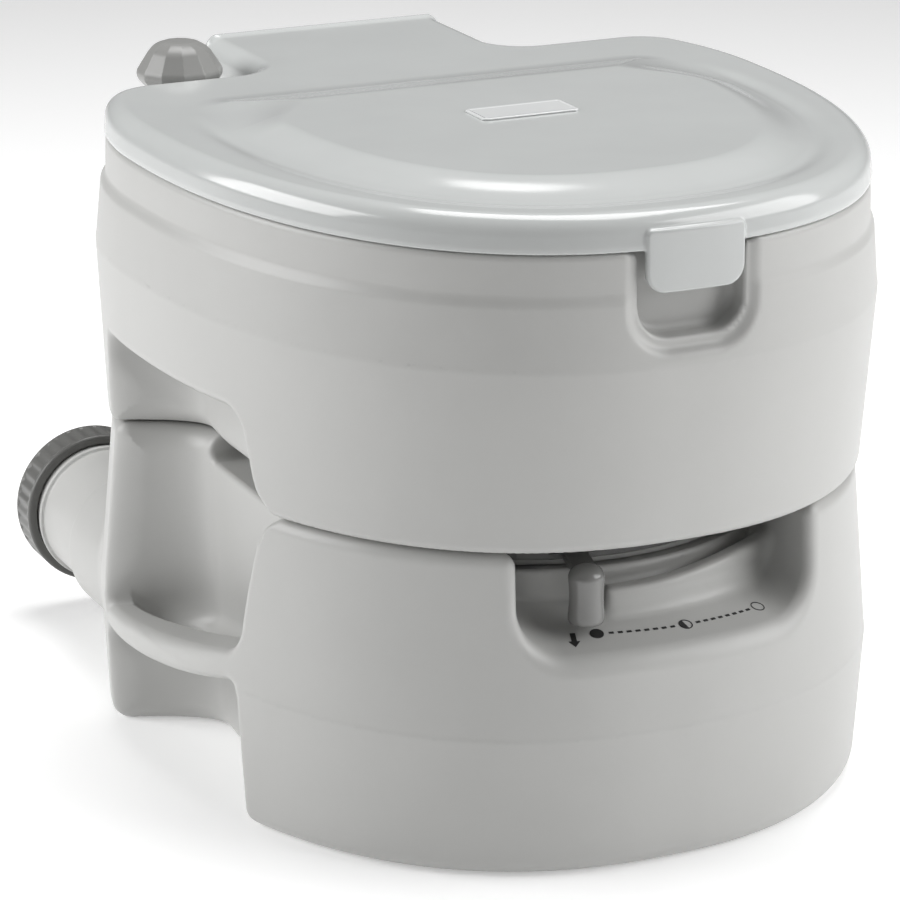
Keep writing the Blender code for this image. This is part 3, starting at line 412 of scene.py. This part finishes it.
def lever_grip(x, y, z):
    """The grip that hangs at the end of the valve lever, with a slight waist."""
    reach = np.sqrt((x - LEVER_R * sin(LEVER_ANGLE)) ** 2 + (y - VALVE_Y + LEVER_R * cos(LEVER_ANGLE)) ** 2)
    waist = 0.0095 - 0.0006 * np.sin(np.clip((z - 0.137) / 0.020, 0, 1) * pi)
    body = rmax(reach - waist, z - 0.1640, 0.0072)
    return rmax(body, 0.1320 - z, 0.0030)


def spout_cap(x, y, z):
    back = y - WIDE_Y
    dx, dz = x - SPOUT_X, z - SPOUT_Z
    reach = np.sqrt(dx * dx + dz * dz)
    rib = 0.0005 * (1 - np.cos(36 * np.arctan2(dz, dx))) * step(back, 0.224, 0.227)
    rib = rib * (1 - step(back, 0.2415, 0.2435))
    body = rmax(rmax(reach - 0.0460 + rib, back - 0.2465, 0.0030), 0.222 - back, 0.0015)
    hollow = rmax(reach - 0.0403, back - 0.2435, 0.001)
    return cut(body, hollow, 0.0008)


def spout_tube(x, y, z):
    back = y - WIDE_Y
    reach = np.sqrt((x - SPOUT_X) ** 2 + (z - SPOUT_Z) ** 2)
    body = rmax(np.abs(reach - 0.03775) - 0.00175, span(back, 0.125, 0.2399), 0.0008)
    bead = rmax(np.abs(reach - 0.0395) - 0.0022, span(back, 0.2125, 0.2165), 0.0015)
    return rmin(body, bead, 0.001)


def fill_cap(x, y, z):
    dx, dy = x - PORT_X, y - PORT_Y
    reach = np.sqrt(dx * dx + dy * dy)
    rib = 0.0006 * (1 - np.cos(28 * np.arctan2(dy, dx))) * (1 - step(z, 0.3215, 0.3235))
    head = rmax(rmax(reach - 0.0300 + rib, z - 0.3265, 0.0030), DECK_Z + 0.0018 - z, 0.001)
    plug = rmax(reach - 0.0208, span(z, 0.3005, 0.320), 0.001)
    grip = round_box(dx, dy, z, (-0.0038, -0.0215, 0.320), (0.0038, 0.0215, 0.3338), 0.0032)
    return rmin(rmin(head, plug, 0.001), grip, 0.003)


def badge(x, y, z):
    """A blank plate with a raised border on the lid's panel."""
    dy = y - BOWL_Y - 0.006
    plan = rmax(np.abs(x) - 0.0285, np.abs(dy) - 0.0130, 0.0035)
    plate = rmax(plan, z - 0.3642, 0.0006)
    field = rmax(plan + 0.0022, 0.36395 - z, 0.0002)
    return rmax(cut(plate, field, 0.0002), 0.3630 - z, 0.0001)


def on_recess_floor(angle, radius, across, along):
    """A point of the recess floor, offset sideways and outwards from a place about the valve axis."""
    place = Vector((sin(angle), -cos(angle))) * (radius + along)
    place += Vector((cos(angle), sin(angle))) * across
    return place.x, VALVE_Y + place.y


def mark(bm, outline):
    """A thin printed shape on the recess floor, from an outline of (x, y) points."""
    levels = []
    for lift in (-0.0004, 0.00025):
        levels.append([bm.verts.new((x, y, recess_floor(x, y) + lift)) for x, y in outline])
    low, high = levels
    bm.faces.new(list(reversed(low)))
    bm.faces.new(high)
    for i in range(len(outline)):
        j = (i + 1) % len(outline)
        bm.faces.new((low[i], low[j], high[j], high[i]))


def arc_strip(angle, radius, inner, outer, start, end, steps=24):
    """The outline of a part of a ring around a place on the recess floor."""
    points = []
    for reach, order in ((outer, range(steps + 1)), (inner, range(steps, -1, -1))):
        for i in order:
            turn = start + (end - start) * i / steps
            points.append(on_recess_floor(angle, radius, reach * cos(turn), reach * sin(turn)))
    return points


def valve_marks():
    """Closed, half open and open signs joined by dashes, and a pointer below the lever."""
    bm = bmesh.new()
    closed, half, opened = MARK_ANGLES
    reach = 0.0037
    for angle, radius, start, end in ((closed, 0.164, 0, 2 * pi), (half, 0.1665, pi / 2, 3 * pi / 2)):
        mark(bm, [on_recess_floor(angle, radius, reach * cos(start + (end - start) * i / 24),
                                  reach * sin(start + (end - start) * i / 24)) for i in range(24)])
    for angle, radius in ((half, 0.1665), (opened, 0.1685)):
        mark(bm, arc_strip(angle, radius, reach - 0.0005, reach, -pi / 2, pi / 2))
        mark(bm, arc_strip(angle, radius, reach - 0.0005, reach, pi / 2, 3 * pi / 2))
    for first, last, near, far in ((closed, half, 0.1643, 0.1663), (half, opened, 0.1668, 0.1683)):
        for i in range(8):
            middle = first + (last - first) * (i + 1.6) / 10.2
            radius = near + (far - near) * i / 7
            mark(bm, [on_recess_floor(middle, radius, across, along) for across, along in
                      ((-0.0013, -0.0007), (0.0013, -0.0007), (0.0013, 0.0007), (-0.0013, 0.0007))])
    pointer = ((-0.0014, -0.0085), (0.0014, -0.0085), (0.0014, -0.0020), (0.0030, -0.0020), (0, 0.0025),
               (-0.0030, -0.0020), (-0.0014, -0.0020))
    mark(bm, [on_recess_floor(radians(-16.5), 0.171, across, along) for across, along in pointer])
    bmesh.ops.recalc_face_normals(bm, faces=bm.faces)
    mesh = bpy.data.meshes.new("valve_marks")
    bm.to_mesh(mesh)
    bm.free()
    item = bpy.data.objects.new("valve_marks", mesh)
    bpy.context.collection.objects.link(item)
    return item


# Materials

def plastic(name, colour, roughness, grain=0.0, grain_scale=900, mottle=0.02, coat=0.0):
    """Moulded plastic: faint colour clouds, a moulded grain and uneven gloss."""
    material = bpy.data.materials.new(name)
    material.use_nodes = True
    nodes, links = material.node_tree.nodes, material.node_tree.links
    shader = nodes["Principled BSDF"]
    place = nodes.new("ShaderNodeTexCoord")
    clouds = nodes.new("ShaderNodeTexNoise")
    clouds.inputs["Scale"].default_value = 14
    clouds.inputs["Detail"].default_value = 5
    links.new(place.outputs["Object"], clouds.inputs["Vector"])
    tint = nodes.new("ShaderNodeValToRGB")
    tint.color_ramp.elements[0].position = 0.3
    tint.color_ramp.elements[1].position = 0.7
    tint.color_ramp.elements[0].color = (*[c * (1 - mottle) for c in colour], 1)
    tint.color_ramp.elements[1].color = (*[min(c * (1 + mottle), 1) for c in colour], 1)
    links.new(clouds.outputs["Fac"], tint.inputs["Fac"])
    links.new(tint.outputs["Color"], shader.inputs["Base Color"])
    gloss = nodes.new("ShaderNodeMapRange")
    gloss.inputs["To Min"].default_value = roughness * 0.9
    gloss.inputs["To Max"].default_value = roughness * 1.12
    links.new(clouds.outputs["Fac"], gloss.inputs["Value"])
    links.new(gloss.outputs["Result"], shader.inputs["Roughness"])
    shader.inputs["Specular IOR Level"].default_value = 0.45
    shader.inputs["Coat Weight"].default_value = coat
    shader.inputs["Coat Roughness"].default_value = 0.12
    shader.inputs["Subsurface Weight"].default_value = 0.04
    shader.inputs["Subsurface Radius"].default_value = (0.004, 0.004, 0.004)
    if grain:
        fine = nodes.new("ShaderNodeTexNoise")
        fine.inputs["Scale"].default_value = grain_scale
        fine.inputs["Detail"].default_value = 3
        wide = nodes.new("ShaderNodeTexNoise")
        wide.inputs["Scale"].default_value = 22
        wide.inputs["Detail"].default_value = 1
        links.new(place.outputs["Object"], fine.inputs["Vector"])
        links.new(place.outputs["Object"], wide.inputs["Vector"])
        ripple = nodes.new("ShaderNodeBump")
        ripple.inputs["Distance"].default_value = 0.0012
        ripple.inputs["Strength"].default_value = 0.10
        bump = nodes.new("ShaderNodeBump")
        bump.inputs["Distance"].default_value = 0.0001
        bump.inputs["Strength"].default_value = grain
        links.new(wide.outputs["Fac"], ripple.inputs["Height"])
        links.new(fine.outputs["Fac"], bump.inputs["Height"])
        links.new(ripple.outputs["Normal"], bump.inputs["Normal"])
        links.new(bump.outputs["Normal"], shader.inputs["Normal"])
    return material


def metal(name, colour, roughness):
    material = plastic(name, colour, roughness, grain=0.1, grain_scale=2500)
    shader = material.node_tree.nodes["Principled BSDF"]
    shader.inputs["Metallic"].default_value = 1.0
    shader.inputs["Subsurface Weight"].default_value = 0.0
    return material


def dress(item, material):
    item.data.materials.clear()
    item.data.materials.append(material)


LOOKS = {
    "tank_plastic": plastic("tank plastic", (0.455, 0.455, 0.444), 0.38, grain=0.22),
    "lid_plastic": plastic("lid plastic", (0.500, 0.513, 0.508), 0.16, grain=0.03, coat=0.35),
    "bowl_plastic": plastic("bowl plastic", (0.58, 0.58, 0.57), 0.16, grain=0.04, coat=0.4),
    "grey_plastic": plastic("grey plastic", (0.120, 0.120, 0.115), 0.34, grain=0.2),
    "valve_plastic": plastic("valve plastic", (0.36, 0.36, 0.35), 0.36, grain=0.15),
    "black_rubber": plastic("black rubber", (0.022, 0.022, 0.022), 0.65, grain=0.4),
    "steel": metal("steel", (0.60, 0.60, 0.61), 0.28),
}
SPECIAL_LOOKS = {
    "pump_knob": plastic("knob plastic", (0.245, 0.245, 0.238), 0.30, grain=0.12),
    "lever_grip": plastic("grip plastic", (0.190, 0.190, 0.184), 0.18, grain=0.08, coat=0.4),
    "valve_ring": plastic("ring plastic", (0.110, 0.110, 0.106), 0.30, grain=0.15),
    # The valve cover is darker than its slot's grey: painted shade for the deep shadow under the flush
    # tank, behind the recess ledge.
    "valve_cover": plastic("cover plastic darkened as painted shade", (0.115, 0.115, 0.111), 0.40, grain=0.20),
    "lid_badge": plastic("badge plastic", (0.66, 0.67, 0.67), 0.14, grain=0.03, coat=0.5),
}
SLOTS = {row["node"]: row["material_slot"] for row in frame["record"]["subparts"]}


def look(node):
    return SPECIAL_LOOKS.get(node, LOOKS[SLOTS[node]])


for node, item in frame["nodes"].items():
    dress(item, look(node))


def piece(item, body, *nodes):
    """Dresses a finished piece and lets it stand for its CAD nodes."""
    dress(item, look(nodes[0]))
    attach(item, body)
    for node in nodes:
        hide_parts(node)
    return item


def skin_for(body, field, voxel, *nodes):
    boxes = np.array([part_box(node) for node in nodes])
    item = skin(f"{nodes[0]}_skin", field, boxes[:, 0].min(axis=0), boxes[:, 1].max(axis=0), voxel)
    return piece(item, body, *nodes)


WASTE = "waste_tank_assembly"
FLUSH = "flush_tank_assembly"
skin_for(WASTE, waste_tank, 0.0021, "waste_tank")
skin_for(FLUSH, flush_tank, 0.0020, "flush_tank")
skin_for("lid", lid, 0.0012, "lid", "lid_skirt")
skin_for("seat", seat, 0.0020, "seat")
skin_for(FLUSH, bowl, 0.0012, "bowl")
skin_for("pump_plunger", knob, 0.0008, "pump_knob")
skin_for("valve_lever", lever_grip, 0.0008, "lever_grip")
skin_for("spout_cap_assembly", spout_cap, 0.0011, "spout_cap")
skin_for(WASTE, spout_tube, 0.0014, "pour_spout")
skin_for("fill_cap", fill_cap, 0.0010, "fill_cap")
skin_for("lid", badge, 0.0006, "lid_badge")

marks = valve_marks()
dress(marks, plastic("mark ink", (0.016, 0.016, 0.016), 0.55, grain=0.2))
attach(marks, WASTE)

# Camera: in front and to the left, looking slightly down
AZIMUTH, ELEVATION, DISTANCE = radians(-25.385), radians(17.70), 2.19896
target = Vector((0, WIDE_Y - 0.070, 0.182875))
away = Vector((sin(AZIMUTH) * cos(ELEVATION), -cos(AZIMUTH) * cos(ELEVATION), sin(ELEVATION)))
camera = bpy.data.objects.new("camera", bpy.data.cameras.new("camera"))
bpy.context.collection.objects.link(camera)
camera.location = target + away * DISTANCE
camera.rotation_euler = away.to_track_quat("Z", "Y").to_euler()
camera.data.sensor_width = 36
camera.data.lens = 160
camera.data.shift_x = -0.0675
camera.data.shift_y = -0.0270
camera.data.clip_end = 20
bpy.context.scene.camera = camera


def softbox(name, place, aim, size, power):
    light = bpy.data.lights.new(name, "AREA")
    light.shape = "RECTANGLE"
    light.size, light.size_y = size
    light.energy = power
    item = bpy.data.objects.new(name, light)
    bpy.context.collection.objects.link(item)
    item.location = place
    item.rotation_euler = (Vector(place) - Vector(aim)).to_track_quat("Z", "Y").to_euler()
    return item


softbox("left_box", (-1.95, 0.85, 1.10), (0, 0, 0.2), (1.6, 1.4), 41)
softbox("right_box", (1.60, -1.20, 1.25), (0, 0, 0.2), (1.9, 1.7), 41)
softbox("top_box", (0.25, 0.25, 2.1), (0, 0, 0.2), (1.5, 1.1), 31)

world = bpy.data.worlds.new("studio")
bpy.context.scene.world = world
world.use_nodes = True
world.node_tree.nodes["Background"].inputs["Color"].default_value = (1, 1, 1, 1)
world.node_tree.nodes["Background"].inputs["Strength"].default_value = 0.14

floor_mesh = bpy.data.meshes.new("floor")
floor_mesh.from_pydata([(-6, -6, 0), (6, -6, 0), (6, 6, 0), (-6, 6, 0)], [], [(0, 1, 2, 3)])
floor = bpy.data.objects.new("floor", floor_mesh)
bpy.context.collection.objects.link(floor)
floor_look = bpy.data.materials.new("pale floor")
floor_look.use_nodes = True
floor_shader = floor_look.node_tree.nodes["Principled BSDF"]
floor_shader.inputs["Base Color"].default_value = (0.85, 0.85, 0.85, 1)
floor_shader.inputs["Roughness"].default_value = 0.6
floor_shader.inputs["Emission Color"].default_value = (1, 1, 1, 1)
floor_shader.inputs["Emission Strength"].default_value = 0.28
floor_mesh.materials.append(floor_look)
bpy.context.scene.view_settings.view_transform = "Standard"
